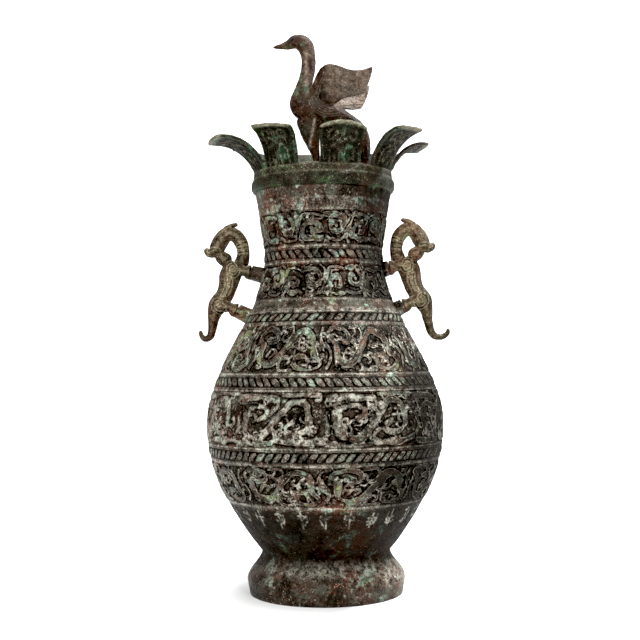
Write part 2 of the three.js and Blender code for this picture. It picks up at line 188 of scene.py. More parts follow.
def distance_to(route, across, up):
    """How far each point is from a route: FAR at most, and only measured within 7 mm of its box."""
    nearest = np.full(across.shape, FAR)
    (left, low), (right, high) = np.min(route, axis=0) - 7, np.max(route, axis=0) + 7
    close = np.flatnonzero((across > left) & (across < right) & (up > low) & (up < high))
    x, y = across[close], up[close]
    found = nearest[close]
    for (x0, y0), (x1, y1) in zip(route, route[1:]):
        run, climb = x1 - x0, y1 - y0
        share = ((x - x0) * run + (y - y0) * climb) / max(run * run + climb * climb, 1e-9)
        share = np.clip(share, 0, 1)
        found = np.minimum(found, np.hypot(x - x0 - share * run, y - y0 - share * climb))
    nearest[close] = found
    return nearest


def soft_step(value, start, end):
    share = np.clip((value - start) / (end - start), 0, 1)
    return share * share * (3 - 2 * share)


# The dragons' bodies in one unit of a field: half width, then the route in shares of the unit. The
# belly's field has the broad unit, its two neighbours the curled one. Bosses: place and radius.
CURLED_UNIT = [
    (3.4, [(0.13, 0.6), (0.17, 0.24), (0.34, 0.17), (0.5, 0.5), (0.66, 0.83), (0.83, 0.76), (0.87, 0.4)]),
    (2.2, [(0.13, 0.6), (0.06, 0.8), (0.18, 0.93), (0.33, 0.86), (0.33, 0.66), (0.24, 0.63)]),
    (2.2, [(0.87, 0.4), (0.94, 0.2), (0.82, 0.07), (0.67, 0.14), (0.67, 0.34), (0.76, 0.37)]),
    (1.6, [(0.38, 0.95), (0.52, 0.95), (0.55, 0.78), (0.47, 0.66), (0.41, 0.74), (0.45, 0.84)]),
    (1.6, [(0.62, 0.05), (0.48, 0.05), (0.45, 0.22), (0.53, 0.34), (0.59, 0.26), (0.55, 0.16)]),
    (1.3, [(0.24, 0.34), (0.3, 0.5), (0.37, 0.46), (0.33, 0.38)]),
    (1.3, [(0.76, 0.66), (0.7, 0.5), (0.63, 0.54), (0.67, 0.62)]),
    (1.5, [(0.01, 0.1), (0.05, 0.26), (0.04, 0.46), (-0.02, 0.6)]),
    (1.5, [(0.99, 0.9), (0.95, 0.74), (0.96, 0.54), (1.02, 0.4)]),
]
BROAD_UNIT = [
    (3.4, [(0.13, 0.6), (0.17, 0.24), (0.34, 0.17), (0.5, 0.5), (0.66, 0.83), (0.83, 0.76), (0.87, 0.4)]),
    (3.2, [(-0.02, 0.87), (0.2, 0.9), (0.45, 0.88)]),
    (3.2, [(0.55, 0.12), (0.8, 0.1), (1.02, 0.13)]),
    (1.9, [(0.02, 0.06), (0.14, 0.05), (0.3, 0.05), (0.46, 0.08)]),
    (1.9, [(0.54, 0.95), (0.7, 0.96), (0.98, 0.95)]),
    (2.2, [(0.13, 0.6), (0.2, 0.72), (0.34, 0.72), (0.38, 0.6), (0.3, 0.5)]),
    (2.2, [(0.87, 0.4), (0.8, 0.28), (0.66, 0.28), (0.62, 0.4), (0.7, 0.5)]),
    (1.6, [(0.48, 0.9), (0.5, 0.76), (0.45, 0.66)]),
    (1.6, [(0.52, 0.1), (0.5, 0.24), (0.55, 0.34)]),
    (1.5, [(0.01, 0.2), (0.05, 0.36), (0.02, 0.56)]),
]
BELLY_BOSSES = [(0.2, 0.7, 2.2), (0.8, 0.3, 2.2), (0.05, 0.62, 1.8), (0.95, 0.38, 1.8), (0.5, 0.5, 1.5)]
NECK_UNIT = [
    (2.5, [(0.02, 0.84), (0.26, 0.86), (0.4, 0.7), (0.34, 0.42), (0.15, 0.44), (0.11, 0.62), (0.21, 0.66)]),
    (2.5, [(0.98, 0.16), (0.74, 0.14), (0.6, 0.3), (0.66, 0.58), (0.85, 0.56), (0.89, 0.38), (0.79, 0.34)]),
    (1.7, [(0.02, 0.24), (0.18, 0.14), (0.38, 0.16), (0.46, 0.36), (0.54, 0.64), (0.62, 0.84), (0.8, 0.86),
           (0.98, 0.76)]),
    (1.2, [(0.42, 0.94), (0.5, 0.8), (0.46, 0.62)]),
    (1.2, [(0.58, 0.06), (0.5, 0.2), (0.54, 0.38)]),
]
NECK_BOSSES = [(0.24, 0.56, 1.6), (0.76, 0.44, 1.6)]
# Fields: bottom, top, number of units, bodies, bosses, and how broad the bodies are.
FIELDS = [
    (100.5, 139, 8, CURLED_UNIT, BELLY_BOSSES, 1.0),
    (157.5, 210, 8, BROAD_UNIT, BELLY_BOSSES, 1.05),
    (228, 274.5, 8, CURLED_UNIT, BELLY_BOSSES, 1.0),
    (301, 336, 10, NECK_UNIT, NECK_BOSSES, 0.85),
    (354.5, 388, 8, NECK_UNIT, NECK_BOSSES, 1.0),
]
CORDS = [(139, 157.5), (210, 228), (274.5, 289.5), (336, 354.5)]
# One loose hook is laid in for each 125 square millimetres of a field. The small curls stand 6.4 mm
# apart, and are drawn from a table of 64 by 64.
HOOK_GROUND = 125
CURL_PITCH = 6.4
CURL_TABLE = 64
DRUM = 110


def on_drum(angle, height):
    """The places moved onto an even drum, so that a swell is as broad at the neck as below."""
    return np.column_stack([np.cos(angle) * DRUM, np.sin(angle) * DRUM, height])


def field_relief(angle, height, field, seed):
    """One field: its relief, the distance to the bodies' edges and to the curls, and the painted shade on
    its sunk ground.
    """
    bottom, top, units, bodies, bosses, breadth = field
    width = 2 * np.pi * float(wall_radius((bottom + top) / 2)) / units
    tall = top - bottom
    turn = np.mod(angle / (2 * np.pi), 1) * units
    unit = np.floor(turn)
    across = (turn - unit) * width
    up = height - bottom
    around = on_drum(angle, height)
    calm = soft_step(np.minimum(up, tall - up), 0, 7)
    across = across + 2.2 * swell(around, seed, 62) + 0.5 * swell(around, seed + 2, 15)
    up = up + (1.9 * swell(around, seed + 1, 55) + 0.5 * swell(around, seed + 3, 14)) * calm
    edge = np.full(angle.shape, FAR)
    chance = np.random.default_rng(seed)
    for half, route in bodies:
        line = smooth_route([(x * width, y * tall) for x, y in route])
        uneven = 0.35 * half * swell(around, seed + 7, 17)
        edge = np.minimum(edge, distance_to(line, across, up) - half * breadth + uneven)
    raised = 1.35 * soft_step(-edge, -0.45, 0.55) - 0.3 * np.exp(-(((edge + 1.7) / 0.6) ** 2))
    for x, y, size in bosses:
        away = np.hypot(across - x * width, up - y * tall)
        raised = np.maximum(raised, 1.7 * np.sqrt(np.clip(1 - (away / size) ** 2, 0, 1)))
        edge = np.minimum(edge, away - size)
    # Loose hooks and tongues, laid in anew in each unit, so that no two units are the same.
    for number in range(units):
        here = unit == number
        for _ in range(round(width * tall / HOOK_GROUND)):
            spot = np.array([chance.uniform(0.06, 0.94) * width, chance.uniform(0.1, 0.9) * tall])
            heading, length = chance.choice([0, 0, 0.5, 1, 1, 1.5]) * np.pi, chance.uniform(3.5, 7)
            bend = chance.choice([-1, 1]) * chance.uniform(1.1, 1.6)
            hook = [spot]
            for share in (1, 0.75, 0.5):
                hook.append(hook[-1] + length * share * np.array([np.cos(heading), np.sin(heading)]))
                heading += bend
            found = distance_to(smooth_route(hook, 2), across[here], up[here]) - chance.uniform(0.8, 1.5)
            edge[here] = np.minimum(edge[here], found + 0.9 * soft_step(-edge[here], -1, 0.6))
    raised = np.maximum(raised, 1.2 * soft_step(-edge, -0.4, 0.55))
    # Small curls fill the ground that is left.
    shift = chance.uniform(-1.2, 1.2, (CURL_TABLE, CURL_TABLE, 2))
    way = chance.uniform(0, 2 * np.pi, (CURL_TABLE, CURL_TABLE))
    hand = chance.choice([-1.0, 1.0], (CURL_TABLE, CURL_TABLE))
    curl = np.full(angle.shape, FAR)
    for i in (-1, 0, 1):
        for j in (-1, 0, 1):
            column = np.floor(across / CURL_PITCH) + i
            row = np.floor(up / CURL_PITCH) + j
            ci, ri = (column + 13 * unit).astype(int) % CURL_TABLE, row.astype(int) % CURL_TABLE
            dx = across - (column + 0.5) * CURL_PITCH - shift[ci, ri, 0]
            dy = up - (row + 0.5) * CURL_PITCH - shift[ci, ri, 1]
            bend = np.mod(np.arctan2(dy, dx * hand[ci, ri]) - way[ci, ri], 2 * np.pi)
            ring = np.abs(np.hypot(dx, dy) - 0.9 - bend * 0.34)
            curl = np.minimum(curl, ring + 4 * soft_step(bend, 5.0, 5.6))
    open_ground = soft_step(edge, 0.7, 1.5)
    raised = raised + 0.75 * np.exp(-((curl / 0.75) ** 2)) * open_ground
    rim = np.minimum(height - bottom, top - height)
    fade = soft_step(rim, 0.2, 1.2)
    curl = 4 - (4 - np.minimum(curl, 4)) * open_ground * fade
    # The last value is painted shade on the sunk ground between the bodies.
    return raised * fade, edge, curl, 0.6 * soft_step(edge, 0.0, 1.2) * fade


def cord_relief(angle, height, bottom, top, twist):
    """A raised cord between double lines: its relief, pale crests (partly wear, partly painted highlight),
    painted shade between the strands, and the strands' edges.
    """
    middle, half = (bottom + top) / 2, (top - bottom) / 2
    up = (height - middle) / half
    count = round(2 * np.pi * float(wall_radius(middle)) / 8.8)
    around = on_drum(angle, height)
    phase = angle * count / (2 * np.pi) + twist * up * 0.75 + 0.12 * swell(around, 61, 25)
    strand = np.abs(np.sin(np.pi * phase))
    core = np.sqrt(np.clip(1 - (up / 0.5) ** 2, 0, 1))
    raised = 0.3 + core * (0.1 + 1.1 * strand**0.8)
    pale = 0.25 * core * soft_step(strand, 0.7, 1)
    # Painted shade in the gaps between the strands and beside the cord's core.
    gap_shade = np.maximum(1 - core, 1 - soft_step(strand, 0.2, 0.6)) * soft_step(0.62 - np.abs(up), 0, 0.1)
    for line in (-0.88, -0.66, 0.66, 0.88):
        ridge = np.exp(-(((up - line) * half / 0.7) ** 2))
        raised = np.maximum(raised, 0.3 + 0.9 * ridge)
        pale = np.maximum(pale, (0.85 if abs(line) > 0.7 else 0.2) * ridge)
    fade = soft_step(1 - np.abs(up), 0, 0.06)
    edge = np.where(np.abs(up) < 0.6, np.minimum((0.42 - strand * core) * 4.5, 1.6), 6)
    return raised * fade, pale * fade, 0.9 * gap_shade * fade, edge


# The cut signs: short strokes set out in upright places round the lower belly. They say nothing.
SIGNS = 26
SIGN_BOTTOM, SIGN_TOP = 77, 95
SIGN_MIDDLE = 86
sign_chance = np.random.default_rng(11)
sign_strokes = []
for sign in range(SIGNS):
    strokes = []
    lean = sign_chance.uniform(-0.8, 0.8)
    strokes.append([(lean, 0.5), (-lean, 17.5)])
    for level in sorted(sign_chance.uniform(3, 15, sign_chance.integers(2, 4))):
        reach = sign_chance.uniform(2.5, 5.2)
        dip = sign_chance.uniform(-1.6, 1.6)
        strokes.append([(-reach, level), (0, level + dip), (reach, level - dip)])
    side = sign_chance.choice([-1, 1])
    strokes.append([(side * 4.6, 14.5), (side * 5.2, 9), (side * 2.6, 4.5)])
    sign_strokes.append(strokes)


def sign_relief(angle, height):
    """How far each point is from the nearest cut stroke."""
    pitch = 2 * np.pi * float(wall_radius(SIGN_MIDDLE)) / SIGNS
    turn = np.mod(angle / (2 * np.pi), 1) * SIGNS
    number = np.floor(turn).astype(int) % SIGNS
    across = (turn - np.floor(turn) - 0.5) * pitch
    nearest = np.full(angle.shape, FAR)
    for sign, strokes in enumerate(sign_strokes):
        here = number == sign
        for stroke in strokes:
            line = smooth_route(stroke)
            found = distance_to(line, across[here], height[here] - SIGN_BOTTOM)
            nearest[here] = np.minimum(nearest[here], found)
    return nearest


# Plain raised lines, with how far they stand out, and the reeded band below the mouth.
LINES = ((98.8, 1.2), (300, 0.6), (290.5, 0.5), (389, 0.7), (399.5, 0.7))
REEDS = 62


def vessel_relief(points):
    """The outside's relief, pale crests (partly wear, partly painted highlight), painted shade with the
    lower belly's black patina, distance to the bodies' edges and to curls.
    """
    angle = np.arctan2(points[:, 1], points[:, 0])
    height = points[:, 2]
    raised, pale, painted_shade_and_black_patina = np.zeros(len(points)), np.zeros(len(points)), np.zeros(len(points))
    edge, curl = np.full(len(points), 6.0), np.full(len(points), 4.0)
    for number, field in enumerate(FIELDS):
        here = (height >= field[0]) & (height <= field[1])
        found = field_relief(angle[here], height[here], field, 20 + number * 5)
        raised[here], edge[here], curl[here], painted_shade_and_black_patina[here] = found
    for number, (bottom, top) in enumerate(CORDS):
        here = (height > bottom) & (height < top)
        twist = 1 if number % 2 else -1
        found = cord_relief(angle[here], height[here], bottom, top, twist)
        raised[here], pale[here], painted_shade_and_black_patina[here], edge[here] = found
    for line, stand in LINES:
        ridge = np.exp(-(((height - line) / 0.8) ** 2))
        raised = np.maximum(raised, stand * ridge)
        pale = np.maximum(pale, (0.95 if line < 100 else 0.45) * ridge)
    here = (height > 389.5) & (height < 399)
    reeds = np.abs(np.sin(angle[here] * REEDS + np.abs(height[here] - 394) * 0.45))
    raised[here] = np.maximum(raised[here], 0.45 * reeds)
    pale[here] = np.maximum(pale[here], 0.2 * soft_step(reeds, 0.7, 1))
    # The lower belly is black, partly its dark patina and partly painted shade, a little less dark on the
    # left. The right side gets painted shade as well, which dims its pale crests, and the belly's field is
    # dusty.
    low = soft_step(97 - height, 0, 3) * soft_step(height, 24, 40)
    painted_shade_and_black_patina = np.maximum(painted_shade_and_black_patina, low * (0.92 + 0.08 * points[:, 0] / 110))
    right = points[:, 0] - 0.2 * points[:, 1]
    shaded = soft_step(right + 25 * (height < 145), 70, 110) * (height < 250)
    shaded += soft_step(right, 30, 58) * (height > 300)
    shaded *= height > 40
    painted_shade_and_black_patina = np.maximum(painted_shade_and_black_patina, shaded)
    pale *= 1 - 0.7 * shaded
    here = (height > SIGN_BOTTOM) & (height < SIGN_TOP)
    nearest = sign_relief(angle[here], height[here])
    raised[here] -= 0.55 * np.exp(-((nearest / 0.8) ** 2))
    curl[here] = np.minimum(nearest * 0.75, 4)
    pale[here] = np.maximum(pale[here], 0.85 * np.exp(-((nearest / 0.52) ** 2)))
    dusty = (height > 157) * (height < 211) * (1 - shaded) * soft_step(swell(points, 8, 34), -0.9, 0.3)
    painted_shade_and_black_patina *= 1 - 0.6 * dusty
    pale = np.maximum(pale, 0.5 * dusty * soft_step(-edge, -0.3, 0.5))
    # The foot has a painted highlight on its right flare and a painted sheen across its front.
    flare_highlight = soft_step(points[:, 0], 44, 60) * soft_step(height, 12, 20) * soft_step(-height, -44, -30)
    front_sheen = soft_step(-points[:, 1], 20, 60) * soft_step(height, 24, 30) * soft_step(-height, -44, -34)
    pale = np.maximum.reduce([pale, 0.45 * flare_highlight, 0.3 * front_sheen])
    worn = 0.75 + 0.25 * soft_step(swell(points, 5, 60), -0.8, 0.2)
    raised = raised * worn + 0.28 * swell(points, 6, 70) + 0.16 * swell(points, 7, 9)
    return raised, pale, painted_shade_and_black_patina, edge, curl


# The outline runs from the foot's hollow out to the ground, up the outside and down the inside.
section = [(0, 43), (30, 43)] + [(float(inner_radius(z)), z) for z in (43, 40, 34, 28, 22, 16)]
section += [(75.6, z) for z in (8, 0)]
outside = steps(0, 17.5, 1.5) + steps(19.5, 76, 2.6) + steps(77, 96, 1.2) + steps(97, 400, 1.12)
outside += steps(401.5, MOUTH, 1.7)
section += [(float(wall_radius(z)), z) for z in outside]
bore = float(inner_radius(402))
section += [(bore, z) for z in (MOUTH, 407, 402)]
section += [(float(inner_radius(z)), z) for z in steps(396, 52, 7)]
section += [(48, 48.2), (40, 47), (20, 47), (0, 47)]

vessel = turned(section, COLUMNS)
points = places(vessel)
reach = np.hypot(points[:, 0], points[:, 1])
outer = (reach > wall_radius(points[:, 2]) - 1) & (points[:, 2] < MOUTH - 0.1)
raised = vessel_relief(points[outer])[0]
fade = soft_step(points[outer][:, 2], 0, 1.5) * soft_step(MOUTH - points[outer][:, 2], 0, 1.5)
new_reach = np.minimum(reach[outer] + raised * fade, WIDEST)
points[outer, 0:2] *= (new_reach / reach[outer])[:, None]
put(vessel, points)
triangles = sum(len(face.vertices) - 2 for face in vessel.data.polygons)
finish_with(vessel, "DECIMATE", ratio=VESSEL_TRIANGLES / triangles)

# Stubs cast on the neck, two for each beast: upright ovals that run out of the wall. Each has its
# height, how far its end stands out, and its fall towards the wall. The shifts move a side's pair.
BEAST_SHIFTS = {"left": (3.5, -0.5), "right": (-4.5, 3)}
STUBS = [(332, 10.4, 0.25), (292.5, 12, 0.5)]


def drawn_out(stations, rings=40, sides=20, y=0.0, blunt=0.1):
    """A limb in an upright plane: a ball drawn out along [x, z, half thickness, half width]."""
    bpy.ops.object.select_all(action="DESELECT")
    bpy.ops.mesh.primitive_uv_sphere_add(segments=sides, ring_count=rings, radius=0.01)
    limb = bpy.context.object
    ball = places(limb) / 10
    share = (1 - np.clip(ball[:, 2], -1, 1)) / 2
    turn = np.arctan2(ball[:, 1], ball[:, 0])
    route = smooth_route(stations, spacing=1.0)
    run = np.concatenate([[0], np.cumsum(np.linalg.norm(np.diff(route[:, :2], axis=0), axis=1))])
    run /= run[-1]
    x, z, thick, wide = (np.interp(share, run, route[:, i]) for i in range(4))
    slope = np.gradient(route[:, :2], axis=0)
    slope /= np.linalg.norm(slope, axis=1)[:, None]
    along = np.column_stack([np.interp(share, run, slope[:, i]) for i in range(2)])
    close = np.clip(np.minimum(share, 1 - share) / blunt, 0, 1)
    swelling = np.sqrt(np.clip(1 - (1 - close) ** 2, 0, 1))
    side = swelling * thick * np.cos(turn)
    aside = y + swelling * wide * np.sin(turn)
    put(limb, np.column_stack([x - along[:, 1] * side, aside, z + along[:, 0] * side]))
    return limb


stubs = []
for side, (outset, lift) in BEAST_SHIFTS.items():
    for height, length, slope in STUBS:
        reach = float(wall_radius(height)) + length + outset
        root = float(wall_radius(height + lift)) - 3
        fall = slope * (reach - root)
        ends = [(root, height + lift - fall, 8.6, 10.6), (reach, height + lift, 7.6, 9.8)]
        stub = drawn_out(ends, rings=16, blunt=0.03)
        if side == "left":
            put(stub, places(stub) * [-1, 1, 1])
        stubs.append(stub)
vessel = fuse("hu_vessel", [vessel, *stubs])
bpy.ops.object.mode_set(mode="EDIT")
bpy.ops.mesh.select_all(action="SELECT")
bpy.ops.mesh.normals_make_consistent(inside=False)
bpy.ops.object.mode_set(mode="OBJECT")
bpy.ops.object.shade_smooth()

points = places(vessel)
reach = np.hypot(points[:, 0], points[:, 1])
proud = reach - wall_radius(points[:, 2])
outer = (proud > -1.4) & (proud < 2.5) & (points[:, 2] < MOUTH - 0.1)
values = np.array([0, 0, 0, 6.0, 4.0])[:, None] * np.ones(len(points))
values[:, outer] = vessel_relief(points[outer])
for name, value in zip(("raised", "pale", "painted_shade_and_black_patina", "edge", "curl"), values):
    keep(vessel, name, value)


class Shader:
    """A material's nodes, added and joined in one call each."""

    def __init__(self, name):
        self.material = bpy.data.materials.new(name)
        self.material.use_nodes = True
        self.tree = self.material.node_tree
        self.surface = self.tree.nodes["Principled BSDF"]

    def add(self, kind, inputs=(), **settings):
        node = self.tree.nodes.new("ShaderNode" + kind)
        for setting, value in settings.items():
            setattr(node, setting, value)
        for socket, value in dict(inputs).items():
            self.join(value, node.inputs[socket])
        return node

    def join(self, value, socket):
        if isinstance(value, bpy.types.NodeSocket):
            self.tree.links.new(value, socket)
        else:
            socket.default_value = value

    def math(self, operation, first, second=0.0, clamp=False):
        return self.add("Math", {0: first, 1: second}, operation=operation, use_clamp=clamp).outputs[0]

    def noise(self, scale, detail=5.0, roughness=0.6, shift=0.0):
        place = self.add("TexCoord").outputs["Object"]
        moved = self.add("Mapping", {"Vector": place, "Location": (shift, shift, shift)}).outputs[0]
        inputs = {"Vector": moved, "Scale": scale, "Detail": detail, "Roughness": roughness}
        return self.add("TexNoise", inputs).outputs["Fac"]

    def between(self, value, start, end, low=0.0, high=1.0):
        inputs = {"Value": value, "From Min": start, "From Max": end, "To Min": low, "To Max": high}
        return self.add("MapRange", inputs, clamp=True, interpolation_type="SMOOTHSTEP").outputs[0]

    def blend(self, share, first, second):
        node = self.add("Mix", data_type="RGBA")
        self.join(share, node.inputs[0])
        self.join(first, node.inputs[6])
        self.join(second, node.inputs[7])
        return node.outputs[2]

    def stored(self, name):
        return self.add("Attribute", attribute_name=name).outputs["Fac"]


def patina(name, dark, brown, red, green, dust_and_highlight, greenness, redness, shine, grit, carved=False):
    """Old bronze: dark metal, brown and red cuprite, green crust in patches, pale edges that are partly
    rubbed wear and partly painted highlight, and painted shade.
    """
    made = Shader(name)
    broad = made.noise(15, 4, 0.55)
    patchy = made.noise(60, 6, 0.7, 0.3)
    mottled = made.noise(210, 6, 0.72, 0.7)
    grain = made.noise(820, 4, 0.7, 1.1)
    pale, painted_shade_and_black_patina = made.stored("pale"), made.stored("painted_shade_and_black_patina")
    lumps = made.math("ADD", made.math("MULTIPLY", mottled, 0.9), made.math("MULTIPLY", grain, 0.7))
    if carved:
        edge, curl = made.stored("edge"), made.stored("curl")
        # Pale lines along the bodies' edges and along the curls: partly wear, partly painted highlight on
        # the crests, weaker where the painted shade is deep.
        outline = made.between(made.math("ABSOLUTE", made.math("ADD", edge, 0.5)), 0.05, 0.5, 1, 0)
        thread = made.between(made.math("ABSOLUTE", curl), 0.1, 0.7, 0.7, 0)
        fine = made.math("MAXIMUM", outline, thread)
        fine = made.math("MULTIPLY", fine, made.between(painted_shade_and_black_patina, 0.62, 0.9, 1, 0.35))
        pale = made.math("MAXIMUM", pale, made.math("MULTIPLY", fine, 0.75))
        # Painted shade: a black line just outside each body's edge, and a fainter one in the groove inside
        # it.
        trench = made.between(made.math("ABSOLUTE", made.math("SUBTRACT", edge, 0.75)), 0.1, 0.9, 1, 0)
        groove = made.between(made.math("ABSOLUTE", made.math("ADD", edge, 1.8)), 0.1, 0.6, 0.3, 0)
        shade = made.math("MAXIMUM", trench, groove)
        flat = made.between(edge, -1.3, -0.4, 1, 0)
        flat = made.math("MAXIMUM", flat, made.between(edge, 4, 5.5, 0, 0.35))
        lumps = made.math("ADD", lumps, made.math("MULTIPLY", fine, 0.7))
        lumps = made.math("SUBTRACT", lumps, shade)
    else:
        flat = made.math("MULTIPLY", made.math("SUBTRACT", 1.0, painted_shade_and_black_patina), 0.4)
        shade = made.math("MULTIPLY", painted_shade_and_black_patina, 0.6)
        lumps = made.math("ADD", lumps, made.math("MULTIPLY", pale, 0.5))
    colour = made.blend(made.between(patchy, 0.4, 0.6), (*dark, 1), (*brown, 1))
    film = made.between(made.noise(75, 5, 0.65, 2.3), 0.45, 0.58, 0.05, 0.9)
    tint = made.between(made.noise(42, 3, 0.6, 5.9), 0.42, 0.58)
    greenish = (*[g * 0.9 + b * 0.9 for g, b in zip(green, brown)], 1)
    reddish = (*[r * 0.35 + b * 1.3 for r, b in zip(red, brown)], 1)
    film_colour = made.blend(tint, greenish, reddish)
    colour = made.blend(made.math("MULTIPLY", film, flat), colour, film_colour)
    reds = made.math("ADD", made.math("MULTIPLY", broad, 0.6), made.math("MULTIPLY", mottled, 0.5))
    colour = made.blend(made.between(reds, 0.6 - redness, 0.7 - redness, 0, 0.85), colour, (*red, 1))
    crust = made.math("ADD", made.math("MULTIPLY", broad, 0.45), made.math("MULTIPLY", patchy, 0.85))
    crust = made.math("ADD", crust, made.math("MULTIPLY", mottled, 0.3))
    crust = made.math("ADD", crust, made.math("MULTIPLY", flat, 0.05))
    crust = made.between(crust, 0.88 - greenness, 0.97 - greenness, 0, 0.95)
    light_green = (*[g * 2.6 for g in green], 1)
    crust_colour = made.blend(made.between(mottled, 0.42, 0.62), (*green, 1), light_green)
    mossy = (green[0] * 1.7, green[1] * 1.35, green[2] * 0.8, 1)
    crust_colour = made.blend(made.between(made.noise(36, 4, 0.6, 4.4), 0.5, 0.6), crust_colour, mossy)
    colour = made.blend(crust, colour, crust_colour)
    black = (*[d * 0.35 for d in dark], 1)
    # The colour turns black under the painted shade, with the lower belly's black patina, and under the
    # painted shade of the trenches and grooves.
    colour = made.blend(made.math("MULTIPLY", painted_shade_and_black_patina, 0.88), colour, black)
    colour = made.blend(made.math("MULTIPLY", shade, 0.9), colour, black)
    # The pale marks take the dust colour: partly rubbed wear and dust, partly painted highlight.
    if carved:
        worn = made.math("MULTIPLY", pale, made.between(mottled, 0.42, 0.55, 0.05, 1.0))
        worn = made.math("MULTIPLY", worn, made.between(patchy, 0.38, 0.55, 0.3, 1.0))
    else:
        worn = made.math("MULTIPLY", pale, made.between(mottled, 0.3, 0.7, 0.2, 1.0))
        worn = made.math("MULTIPLY", worn, made.between(grain, 0.35, 0.6, 0.4, 1.0))
    colour = made.blend(worn, colour, (*dust_and_highlight, 1))
    pits = made.between(made.noise(480, 4, 0.7, 3.1), 0.38, 0.48, grit, 0)
    colour = made.blend(pits, colour, black)
    speck = made.between(mottled, 0.48, 0.6, 0.05, grit)
    speck = made.math("MULTIPLY", made.between(grain, 0.57, 0.63), speck)
    speck = made.math("MULTIPLY", speck, made.between(painted_shade_and_black_patina, 0.2, 0.9, 1, 0.25))
    colour = made.blend(speck, colour, (*dust_and_highlight, 1))
    made.join(colour, made.surface.inputs["Base Color"])
    rough = made.between(mottled, 0.35, 0.65, shine, shine + 0.3)
    rough = made.math("ADD", rough, made.math("MULTIPLY", crust, 0.2))
    rough = made.math("ADD", rough, made.math("MULTIPLY", painted_shade_and_black_patina, 0.3))
    made.join(made.math("MINIMUM", rough, 0.95), made.surface.inputs["Roughness"])
    bare = made.between(crust, 0.1, 0.8, 0.3 if carved else 0.06, 0.0)
    bare = made.math("MULTIPLY", bare, made.math("SUBTRACT", 1.0, painted_shade_and_black_patina))
    made.join(bare, made.surface.inputs["Metallic"])
    made.surface.inputs["Specular IOR Level"].default_value = 0.06 if carved else 0.08
    bump = made.add("Bump", {"Height": lumps, "Distance": 0.0015, "Strength": 1.0})
    made.join(bump.outputs[0], made.surface.inputs["Normal"])
    return made.material


vessel_bronze = patina(
    "aged_vessel_bronze",
    dark=(0.010, 0.008, 0.005),
    brown=(0.058, 0.040, 0.030),
    red=(0.130, 0.044, 0.026),
    green=(0.098, 0.142, 0.112),
    dust_and_highlight=(0.53, 0.51, 0.43),
    greenness=0.01,
    redness=0.04,
    shine=0.24,
    grit=0.9,
    carved=True,
)
vessel.data.materials.clear()
vessel.data.materials.append(vessel_bronze)
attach(vessel, "root")
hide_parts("vessel")

# The beast handles: two long-bodied beasts that climb the neck with their heads turned out. Each is
# cast solid and fixed by its four paws to the stubs. Drawn in hundredths of 120 mm from the upper
# stub's end, on the +X side; the left one is turned over to -X.
BEAST_SIZE = 1.2
# Tails: how far out the tip reaches, how low the bend hangs, and how wide it sweeps.
BEAST_TAILS = {"left": (43.9, 57.3, 9), "right": (50.6, 60.2, 14)}


